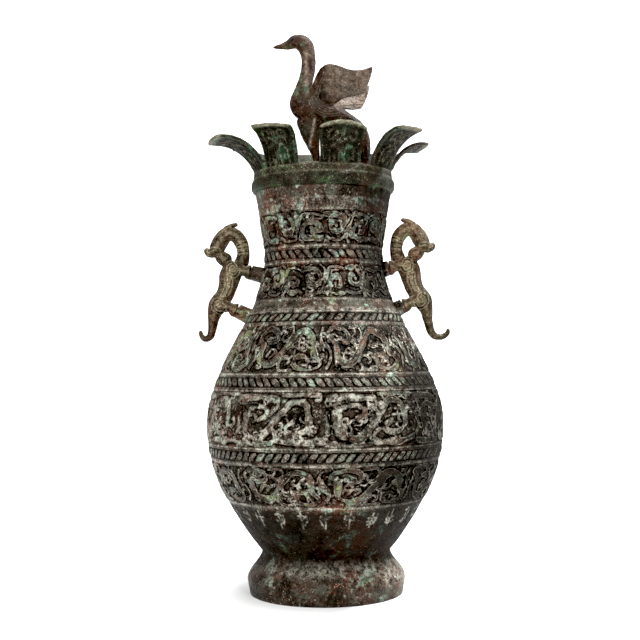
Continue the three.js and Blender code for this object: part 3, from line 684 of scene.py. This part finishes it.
def beast(side):
    outset, lift = BEAST_SHIFTS[side]
    tail_reach, drop, sweep = BEAST_TAILS[side]
    ends = [(float(wall_radius(h)) + length + outset, h + lift, slope) for h, length, slope in STUBS]
    start, level = ends[0][0] + 0.3, ends[0][1]

    def drawn(stations):
        sized = np.array(stations, float) * BEAST_SIZE
        return [tuple(station) for station in sized + [start, level, 0, 0]]

    torso = [
        (11, 7.9, 8.3, 6.7), (17, -1.2, 9.5, 7.2), (19.6, -11.2, 8.4, 6.5), (22.7, -19.6, 7.8, 6.5),
        (28.5, -28.3, 8.3, 7.2), (31.8, -37.1, 5.7, 5.5), (33, -45.4, 4.2, 4.2),
        (tail_reach - sweep, 3 - drop, 3.3, 3.7), (tail_reach - sweep / 2, -drop, 2.8, 3.2),
        (tail_reach - 1, 3 - drop, 2.2, 2.4), (tail_reach, 7.6 - drop, 1.6, 1.8),
    ]
    neck = [
        (8.1, 6.2, 6.6, 6), (5.9, 16.2, 5.5, 5.4), (7.8, 25.6, 5.9, 5.7), (12.7, 32.1, 6.1, 6),
        (19.3, 33.9, 6.2, 6.8), (24.6, 28.8, 7, 7.3), (28.6, 22, 6.8, 6.4), (33, 17.3, 4.6, 5),
        (36.8, 17.9, 3.3, 4.2), (38.4, 21.8, 2.3, 3.3),
    ]
    parts = [drawn_out(drawn(torso), 90, 24, blunt=0.03), drawn_out(drawn(neck), 70, 24, blunt=0.04)]
    parts.append(drawn_out(drawn([(30, 16.5, 5.2, 4.9), (17, 8.4, 7, 5.6)]), 24, 20, blunt=0.45))
    shoulders = [(13.5, 3.8, 7.2, 4.6), (25.2, -27.9, 7, 4.9)]
    for y in (-1, 1):
        for (end, height, slope), shoulder in zip(ends, shoulders):
            paw = drawn([shoulder]) + [
                (end + 8.3, height + 8 * slope, 5.4, 4.8),
                (end + 5.2, height + 4.5 * slope, 5.6, 4.7),
                (end + 3, height + 1.8 * slope, 7.3, 5.3),
                (end, height, 7.4, 5.3),
            ]
            parts.append(drawn_out(paw, 30, 18, y * 5, blunt=0.02))
        horn = [(22.5, 37.2, 2.2, 2), (16, 40.2, 2.1, 1.9), (10.6, 42.3, 1.1, 1.1)]
        ear = [(27.4, 33.0, 1.5, 1.7), (23.5, 35.6, 1.9, 2.2), (17.5, 35.4, 1.4, 1.7)]
        eye = [(27.6, 28.0, 2.5, 2.4), (25.0, 28.8, 2.5, 2.4)]
        parts.append(drawn_out(drawn(horn), 16, 12, y * 4))
        parts.append(drawn_out(drawn(ear), 16, 12, y * 5.4))
        parts.append(drawn_out(drawn(eye), 12, 12, y * 6.2, blunt=0.4))
    piece = fuse("beast_" + side, parts)
    piece.data.remesh_voxel_size = 0.62 * MM
    bpy.ops.object.voxel_remesh()
    finish_with(piece, "SMOOTH", factor=0.5, iterations=3)
    points = places(piece)
    normals = facing(piece)
    across = (points[:, 0] - start) / BEAST_SIZE
    up = (points[:, 2] - level) / BEAST_SIZE
    flank = np.abs(points[:, 1])
    cuts = [
        [(9.5, 0.5), (13, -3.5), (18, -1.5), (18.5, 4.5), (14.5, 7), (11.8, 4), (13.6, 1.5)],
        [(21.5, -31.5), (25.5, -35), (31.5, -31.5), (31.5, -25.5), (27, -23), (24.5, -26.5), (27, -28.6)],
        [(20.6, -5), (20.6, -12), (24, -20)],
        [(16, -7), (17, -13.5), (20, -20)],
        [(1.5, 18), (9.5, 17)], [(1.8, 22), (10, 20.4)], [(2.8, 26.2), (10.6, 23)],
        [(35.6, 18.4), (31, 20.5), (26.5, 19.5)],
    ]
    groove = np.full(len(points), FAR)
    for cut in cuts:
        groove = np.minimum(groove, distance_to(smooth_route(cut, 1.2), across, up))
    groove = groove * BEAST_SIZE
    # The grooves get painted shade; the lips beside them are pale, partly wear and partly painted
    # highlight.
    deep = np.exp(-((groove / 0.62) ** 2)) * soft_step(flank, 1.5, 4)
    lip = np.exp(-(((groove - 1.35) / 0.6) ** 2)) * soft_step(flank, 1.5, 4)
    tail_run = soft_step(-up, 38, 44)
    scales = np.sin(across * 2.6 + up * 2.1) * np.sin(across * 2.6 - up * 2.1)
    torso_side = soft_step(flank, 2, 5) * soft_step(up, -34, -28) * (1 - tail_run)
    push = 0.4 * lip - 0.65 * deep + 0.16 * scales * torso_side + 0.14 * swell(points, 31, 8)
    points = points + normals * push[:, None]
    low, high = (np.array(corner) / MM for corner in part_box("beast_handle_" + side))
    if side == "left":
        points = points * [-1, 1, 1]
    points = np.clip(points, low, high)
    put(piece, points)
    if side == "left":
        piece.data.flip_normals()
    # Painted highlights on the faces turned up and on those turned to the front, fainter along the tail.
    painted_highlight = 0.45 * soft_step(normals[:, 2], 0.35, 0.9) + 0.3 * soft_step(-normals[:, 1], 0.93, 1)
    painted_highlight *= 1 - 0.7 * tail_run
    keep(piece, "pale", np.clip(0.5 * lip + 0.35 * soft_step(scales, 0.3, 0.9) * torso_side + painted_highlight, 0, 1))
    keep(piece, "painted_shade_and_black_patina", np.clip(deep, 0, 1))
    bpy.ops.object.shade_smooth()
    return piece


handle_bronze = patina(
    "rubbed_and_highlit_handle_bronze",
    dark=(0.010, 0.007, 0.005),
    brown=(0.046, 0.028, 0.018),
    red=(0.090, 0.032, 0.020),
    green=(0.060, 0.070, 0.034),
    dust_and_highlight=(0.60, 0.52, 0.34),
    greenness=-0.02,
    redness=0.04,
    shine=0.2,
    grit=0.7,
)
for side in ("left", "right"):
    piece = beast(side)
    piece.data.materials.clear()
    piece.data.materials.append(handle_bronze)
    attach(piece, "root")
    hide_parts("beast_handle_" + side)

# The lid: a cast ring with a floor and a collar that drops into the mouth. Eight petals, cast with
# it, rise from the ring and fall open round the bird. Their outer faces carry low curls.
SEAT = 412.3
RING_TOP = SEAT + 21.5
CROWN = 0.375
PETAL_FOOT, PETAL_START = 69, 430.8
# Petals: turn, lean, rise, curl, arch of the edge, tilt. Turn and curl are degrees, the others are
# in parts of CROWN millimetres.
PETALS = [
    (-73, 131, 78.7, 100, 0, 0), (-37, 56, 94.7, 90, 2.7, -16), (15, 40, 84, 90, 16, 0),
    (60, 98.7, 94.7, 88, 0, 13.3), (100, 109.3, 78.7, 100, 2.7, 0), (145, 96, 86.7, 96, 5.3, 0),
    (190, 85.3, 89.3, 94, 8, 0), (235, 96, 86.7, 96, 5.3, 0),
]


def petal_width(up):
    return 40 + 11 * up**1.5


def petal(turn, lean, rise, curl, arch, tilt):
    bpy.ops.object.select_all(action="DESELECT")
    bpy.ops.mesh.primitive_grid_add(x_subdivisions=28, y_subdivisions=28, size=0.002)
    leaf = bpy.context.object
    flat = places(leaf)
    side, up = flat[:, 0], (flat[:, 1] + 1) / 2
    reach = PETAL_FOOT + lean * CROWN * up**1.5
    width = petal_width(up)
    corner = 1 - 0.09 * soft_step(up, 0.86, 1) * np.abs(side) ** 3
    angle = math.radians(turn) + side * corner * width / 2 / reach
    lift = (arch * (1 - side**2) + tilt * side / 2) * CROWN * up**2
    height = PETAL_START + (rise * CROWN + 3) * np.sin(np.radians(curl) * up) + lift
    put(leaf, np.column_stack([reach * np.sin(angle), -reach * np.cos(angle), height]))
    finish_with(leaf, "SOLIDIFY", thickness=2.6 * MM, offset=0)
    return leaf


collar = bore - 1
ring_section = [
    (0, SEAT + 8.5), (collar - 3.2, SEAT + 8.5), (collar - 3.2, 402), (collar, 402), (collar, SEAT),
    (70.7, SEAT), (73.2, SEAT + 2.4), (73.8, SEAT + 4), (73.8, SEAT + 10), (73, SEAT + 11.6),
    (71.5, SEAT + 12.5), (70.5, RING_TOP - 0.6), (69.9, RING_TOP), (67, RING_TOP), (66.5, RING_TOP - 0.8),
    (66.5, SEAT + 12), (0, SEAT + 12),
]
lid = turned(ring_section, 160)
lid = fuse("hu_lid", [lid] + [petal(*shape) for shape in PETALS])
lid.data.remesh_voxel_size = 1.16 * MM
bpy.ops.object.voxel_remesh()
finish_with(lid, "SMOOTH", factor=0.4, iterations=2)

points = places(lid)
normals = facing(lid)
angle = np.arctan2(points[:, 0], -points[:, 1])
reach = np.hypot(points[:, 0], points[:, 1])
height = points[:, 2] - SEAT
outward = normals[:, 0] * np.sin(angle) - normals[:, 1] * np.cos(angle)
ROPE_TURNS = 46
on_ring = (reach > PETAL_FOOT) & (height < 21) & (height > 0.6) & (outward > 0.3)
rope = np.abs(np.sin(angle * ROPE_TURNS + height * 0.9))
rope_band = soft_step(height, 13.2, 14.2) * soft_step(-height, -19.6, -18.6)
lines = np.exp(-(((height - 13) / 0.8) ** 2)) + np.exp(-(((height - 20) / 0.8) ** 2))
push = on_ring * (0.4 * rope_band * rope + 0.5 * lines)
# The rope's crests and its lines are pale: partly wear, partly painted highlight.
pale = on_ring * np.clip(0.15 * rope_band * soft_step(rope, 0.5, 0.95) + 0.35 * lines, 0, 1)
painted_shade_and_black_patina = np.zeros(len(points))
CURL_HALF, CURL_TALL = 22, 36
CURLS = [
    [(-0.62, 0.2), (-0.5, 0.42), (-0.2, 0.46), (-0.1, 0.3), (-0.26, 0.2), (-0.36, 0.3)],
    [(0.62, 0.2), (0.5, 0.42), (0.2, 0.46), (0.1, 0.3), (0.26, 0.2), (0.36, 0.3)],
    [(0, 0.5), (-0.3, 0.62), (-0.55, 0.58), (-0.6, 0.74), (-0.34, 0.8), (-0.22, 0.7)],
    [(0, 0.5), (0.3, 0.62), (0.55, 0.58), (0.6, 0.74), (0.34, 0.8), (0.22, 0.7)],
    [(0, 0.1), (0, 0.42)], [(0, 0.6), (0.08, 0.74), (0, 0.86), (-0.08, 0.74), (0, 0.6)],
]
for turn, lean, rise, curl, arch, tilt in PETALS:
    off = np.mod(angle - math.radians(turn) + math.pi, 2 * math.pi) - math.pi
    over = (height > 20) & (np.abs(off) < 0.42)
    up = np.clip((reach - PETAL_FOOT) / (lean * CROWN), 0, 1) ** (1 / 1.5)
    side = off * reach / (petal_width(up) / 2)
    over &= (np.abs(side) < 1.08) & (outward - normals[:, 2] > 0)
    nearest = np.full(len(points), FAR)
    for route in CURLS:
        line = smooth_route([(x * CURL_HALF, y * CURL_TALL) for x, y in route])
        found = distance_to(line, side[over] * CURL_HALF, up[over] * CURL_TALL)
        nearest[over] = np.minimum(nearest[over], found)
    inside = soft_step(0.9 - np.abs(side), 0, 0.1) * soft_step(0.93 - up, 0, 0.06)
    ridge = np.exp(-((nearest / 1.0) ** 2)) * over * inside
    push += 0.7 * ridge - 0.25 * over * inside * (1 - ridge)
    pale = np.maximum(pale, 0.3 * ridge * soft_step(swell(points, 43, 6), -0.2, 0.5))
    rim = over * (1 - inside)
    pale = np.maximum(pale, 0.55 * rim * soft_step(up, 0.93, 0.98))
    # The low ground between the curls on the petals' faces is darkened: painted shade.
    painted_shade_and_black_patina = np.maximum(painted_shade_and_black_patina, 0.6 * over * inside * (1 - ridge))
    push += 0.3 * over * inside * swell(points, 42, 4)
points = points + normals * (push + 0.12 * swell(points, 41, 7))[:, None]
low, high = (np.array(corner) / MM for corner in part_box("lid"))
put(lid, np.clip(points, low, high))
keep(lid, "pale", np.clip(pale, 0, 1))
keep(lid, "painted_shade_and_black_patina", painted_shade_and_black_patina)
bpy.ops.object.shade_smooth()
lid_bronze = patina(
    "green_black_lid_bronze",
    dark=(0.006, 0.006, 0.004),
    brown=(0.024, 0.018, 0.012),
    red=(0.060, 0.022, 0.013),
    green=(0.020, 0.046, 0.026),
    dust_and_highlight=(0.42, 0.38, 0.26),
    greenness=0.02,
    redness=-0.02,
    shine=0.26,
    grit=0.8,
)
lid.data.materials.clear()
lid.data.materials.append(lid_bronze)
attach(lid, "root")
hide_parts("lid")

# The bird: cast on its own and fixed by its feet and tail to the lid's floor. It stands with its
# wings lifted and looks along -X. Drawn in hundredths of its height, 155.5 mm.
BIRD_FLOOR = SEAT + 12.3
BIRD_SIZE = 1.555


def bird_limb(stations, rings, sides, y=0.0, blunt=0.08):
    sized = np.array(stations, float) * BIRD_SIZE + [0, BIRD_FLOOR, 0, 0]
    return drawn_out(sized, rings, sides, y * BIRD_SIZE, blunt)


WING_ROWS = [
    [(-0.8, -14.1, 72.5), (-5.1, -9.6, 65.4), (-8.4, -5.1, 56.4)],
    [(3.2, -17.4, 74.4), (0, -12.9, 64.1), (-3.9, -7.7, 50.6)],
    [(9, -19.9, 73.4), (7.1, -16.1, 62.8), (5.1, -8.4, 49.3)],
    [(18, -22.5, 69.6), (16.7, -19.9, 62.2), (14.1, -15.4, 52.5)],
    [(25.1, -23.8, 68.9), (23.8, -21.9, 61.5), (21.2, -19.3, 52.9)],
    [(32.8, -25.1, 70.6), (30.9, -23.8, 62.8), (26.7, -21.9, 54.1)],
]


def wing(side):
    bpy.ops.object.select_all(action="DESELECT")
    bpy.ops.mesh.primitive_grid_add(x_subdivisions=40, y_subdivisions=24, size=0.002)
    sheet = bpy.context.object
    flat = places(sheet)
    along, down = (flat[:, 0] + 1) / 2, (1 - flat[:, 1]) / 2
    rows = np.array(WING_ROWS, float)
    lines = [smooth_route(rows[:, i], spacing=1.0) for i in range(3)]
    share = [np.linspace(0, 1, len(line)) for line in lines]
    top, middle, bottom = (
        np.column_stack([np.interp(along, s, line[:, i]) for i in range(3)])
        for s, line in zip(share, lines)
    )
    weight = down[:, None]
    spot = top * (1 - weight) * (1 - 2 * weight) + 4 * middle * weight * (1 - weight)
    spot += bottom * weight * (2 * weight - 1)
    spot = spot * BIRD_SIZE + [0, 0, BIRD_FLOOR]
    spot[:, 1] *= side
    put(sheet, spot)
    finish_with(sheet, "SOLIDIFY", thickness=3.1 * MM, offset=0)
    return sheet


parts = [
    bird_limb(
        [
            (28.6, 2.4, 2.8, 5.1), (28.3, 17.8, 3.7, 6.8), (27.8, 29.4, 3.7, 7.7), (24.6, 36.5, 3.4, 8.4),
            (17.4, 41, 4.5, 9), (8.4, 44.5, 7.1, 9.6), (-2.6, 47.4, 9.3, 10), (-10.9, 50.3, 9.6, 8.7),
            (-16.7, 51.9, 5.1, 5.8),
        ], 60, 28, blunt=0.06,
    ),
    bird_limb(
        [
            (-8.4, 46.8, 8.4, 7.1), (-13.2, 52.5, 8.8, 7.1), (-12.8, 60.3, 6.3, 5.8), (-11, 68, 4.9, 4.6),
            (-9.2, 76.3, 4.8, 4), (-9.2, 84.7, 4.9, 4.1), (-11.6, 91.8, 5.6, 4.5), (-17, 94.2, 5, 4.2),
            (-22, 92.3, 3.3, 3), (-27, 91.1, 2, 1.9), (-32.8, 90.6, 0.7, 0.9),
        ], 80, 28, blunt=0.03,
    ),
    wing(1), wing(-1),
]
for y in (-4, 4):
    parts.append(
        bird_limb(
            [
                (-8.4, 43.5, 10.2, 4.5), (-7.9, 33.2, 6.7, 3.9), (-6, 24.2, 4, 3.1),
                (-4.3, 15.9, 2.4, 2.3), (-3.8, 0.9, 1.9, 2.1),
            ], 40, 20, y,
        )
    )
    parts.append(bird_limb([(-0.6, 1, 1, 2.2), (-10.9, 1, 1, 3.3)], 14, 16, y))
    parts.append(bird_limb([(-17.2, 93.6, 1.1, 0.9), (-18.9, 93.3, 1.1, 0.9)], 10, 12, y * 0.86, blunt=0.4))
bird = fuse("hu_bird", parts)
bird.data.remesh_voxel_size = 0.8 * MM
bpy.ops.object.voxel_remesh()
finish_with(bird, "SMOOTH", factor=0.4, iterations=2)
points = places(bird)
normals = facing(bird)
across, aside, up = ((points - [0, 0, BIRD_FLOOR]) / BIRD_SIZE).T
on_wing = (np.abs(aside) > 6.5) & (up > 47)
feathers = [
    [(-3.5, 55), (-1.5, 62), (2, 67), (6, 69)], [(9, 52.5), (17, 55), (27, 56.6)],
    [(-6, 55), (-3, 49), (3, 46), (9, 47)], [(-4.4, 56), (-1.6, 51.5), (3.5, 49), (8, 49.5)],
    [(-8, 52), (-5, 46.5), (2, 43), (11, 43.5)],
]
nearest = np.full(len(points), FAR)
for route in feathers:
    nearest = np.minimum(nearest, distance_to(smooth_route(route, 1.2), across, up))
nearest *= BIRD_SIZE
flank = soft_step(np.abs(aside), 3, 6)
# The feathers' ridges stand out and are pale, partly wear and partly painted highlight; their cuts sink and
# get painted shade.
ridge = np.exp(-(((nearest - 1.0) / 0.6) ** 2)) * flank
cut = np.exp(-((nearest / 0.6) ** 2)) * flank
plumage = np.sin(across * 4.2) * np.sin(up * 4.2 + across) * soft_step(up, 44, 50) * (up < 74) * (~on_wing)
push = 0.3 * ridge - 0.35 * cut + 0.18 * plumage + 0.1 * swell(points, 51, 6) + 0.1 * swell(points, 52, 3)
points = points + normals * push[:, None]
low, high = (np.array(corner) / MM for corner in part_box("bird"))
put(bird, np.clip(points, low, high))
# Painted highlights on the far wing's face, down the front of the neck and down the near leg, and a painted
# sheen on the near wing's face.
far_wing_highlight = (aside > 6.5) * (up > 40) * soft_step(-normals[:, 1], 0.2, 0.6)
far_wing_highlight *= soft_step(across, 8, 12)
neck_highlight = np.exp(-(((across + 10.6) / 1.5) ** 2)) * soft_step(up, 62, 66) * soft_step(-up, -91, -86)
neck_highlight *= soft_step(-normals[:, 1], 0.3, 0.7)
leg_highlight = np.exp(-(((across - (up - 46) * 0.2 + 4) / 0.9) ** 2))
leg_highlight *= soft_step(up, 4, 10) * soft_step(-up, -44, -38)
leg_highlight *= soft_step(-normals[:, 1], 0.2, 0.6) * (aside < 0)
near_wing_sheen = (aside < -6.5) * soft_step(across, -2, 8) * soft_step(up, 50, 55)
pale = np.maximum.reduce([0.35 * ridge, 0.6 * far_wing_highlight, 0.55 * neck_highlight, 0.85 * leg_highlight, 0.36 * near_wing_sheen])
# A painted highlight on the upward faces of the back and tail.
pale = np.maximum(pale, 0.5 * soft_step(normals[:, 2], 0.75, 1) * soft_step(across, 0, 20) * (up < 50))
keep(bird, "pale", np.clip(pale, 0, 1))
keep(bird, "painted_shade_and_black_patina", np.clip(cut, 0, 1))
bpy.ops.object.shade_smooth()
bird_bronze = patina(
    "red_brown_bird_bronze",
    dark=(0.006, 0.004, 0.003),
    brown=(0.036, 0.018, 0.011),
    red=(0.070, 0.026, 0.015),
    green=(0.032, 0.050, 0.032),
    dust_and_highlight=(0.50, 0.40, 0.32),
    greenness=-0.02,
    redness=0.02,
    shine=0.18,
    grit=0.55,
)
bird.data.materials.clear()
bird.data.materials.append(bird_bronze)
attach(bird, "root")
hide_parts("bird")

# The studio: a wide sheet of pale paper that lies under the vase and sweeps up behind it, a large
# soft light overhead, three smaller ones round the front and side, and one that lights the paper
# behind. Far from the vase the paper glows for the camera alone. Lengths are metres here.
PAPER_FRONT, SWEEP_START, SWEEP_RADIUS = -5, 7.5, 2.4
bpy.ops.object.select_all(action="DESELECT")
bpy.ops.mesh.primitive_grid_add(x_subdivisions=2, y_subdivisions=120, size=2)
paper = bpy.context.object
paper.name = "studio_paper"
flat = places(paper) * MM
run = (flat[:, 1] + 1) * 6
bent = np.clip((run - SWEEP_START) / SWEEP_RADIUS, 0, math.pi / 2)
beyond = np.maximum(run - SWEEP_START - SWEEP_RADIUS * math.pi / 2, 0)
depth = PAPER_FRONT + np.minimum(run, SWEEP_START) + SWEEP_RADIUS * np.sin(bent)
sheet = np.column_stack([flat[:, 0] * 7, depth, SWEEP_RADIUS * (1 - np.cos(bent)) + beyond])
put(paper, sheet / MM)
bpy.ops.object.shade_smooth()
pale_paper = Shader("pale_paper")
pale_paper.surface.inputs["Base Color"].default_value = (0.82, 0.82, 0.82, 1)
pale_paper.surface.inputs["Roughness"].default_value = 0.8
spot = pale_paper.add("TexCoord").outputs["Object"]
away = pale_paper.add("VectorMath", {0: spot}, operation="LENGTH").outputs["Value"]
looked_at = pale_paper.add("LightPath").outputs["Is Camera Ray"]
glow = pale_paper.math("MULTIPLY", pale_paper.between(away, 0.9, 2.6, 0, 0.85), looked_at)
pale_paper.join(glow, pale_paper.surface.inputs["Emission Strength"])
pale_paper.surface.inputs["Emission Color"].default_value = (1, 1, 1, 1)
paper.data.materials.append(pale_paper.material)

world = bpy.data.worlds.new("studio_room")
world.use_nodes = True
bpy.context.scene.world = world
room = world.node_tree.nodes["Background"]
room.inputs["Color"].default_value = (1, 1, 1, 1)
seen = world.node_tree.nodes.new("ShaderNodeLightPath")
brightness = world.node_tree.nodes.new("ShaderNodeMapRange")
brightness.inputs["To Min"].default_value = 0.04
brightness.inputs["To Max"].default_value = 1.0
world.node_tree.links.new(seen.outputs["Is Camera Ray"], brightness.inputs["Value"])
world.node_tree.links.new(brightness.outputs[0], room.inputs["Strength"])


def soft_light(name, place, aim, size, power):
    lamp = bpy.data.lights.new(name, "AREA")
    lamp.shape = "DISK"
    lamp.size = size
    lamp.energy = power
    light = bpy.data.objects.new(name, lamp)
    bpy.context.scene.collection.objects.link(light)
    light.location = place
    light.rotation_euler = (Vector(aim) - Vector(place)).to_track_quat("-Z", "Y").to_euler()


soft_light("overhead", (0, -0.2, 2.6), (0, 0, 0), 1.6, 80)
soft_light("window_left", (-0.65, -1.3, 1.25), (0, 0, 0.28), 0.25, 34)
soft_light("rim_right", (0.85, 0.3, 1.35), (0, 0, 0.25), 0.16, 46)
soft_light("front_fill", (0.6, -1.7, 0.9), (0, 0, 0.25), 0.25, 14)
soft_light("behind", (0, 1.3, 3.2), (0, 3.6, 1.0), 2.0, 150)

# The camera: it stands level in front of the vase, a little turned on its own axis. Its lens and
# its shifts are given in pixels of a picture 640 wide.
PICTURE_WIDTH, LENS = 640, 1100
lens_view = bpy.data.cameras.new("photo_view")
lens_view.sensor_width = 36
lens_view.lens = LENS / PICTURE_WIDTH * lens_view.sensor_width
lens_view.shift_x = -4.5 / PICTURE_WIDTH
lens_view.shift_y = 40 / PICTURE_WIDTH
camera = bpy.data.objects.new("photo_view", lens_view)
bpy.context.scene.collection.objects.link(camera)
level_view = Matrix.Rotation(math.radians(90), 4, "X")
roll = Matrix.Rotation(math.radians(-0.49), 4, "Z")
camera.matrix_world = Matrix.Translation((0, -1.144, 0.24)) @ level_view @ roll
bpy.context.scene.camera = camera
picture = bpy.context.scene.view_settings
picture.view_transform = "Standard"
picture.use_curve_mapping = True
picture.curve_mapping.black_level = (0.016, 0.016, 0.016)
picture.curve_mapping.update()
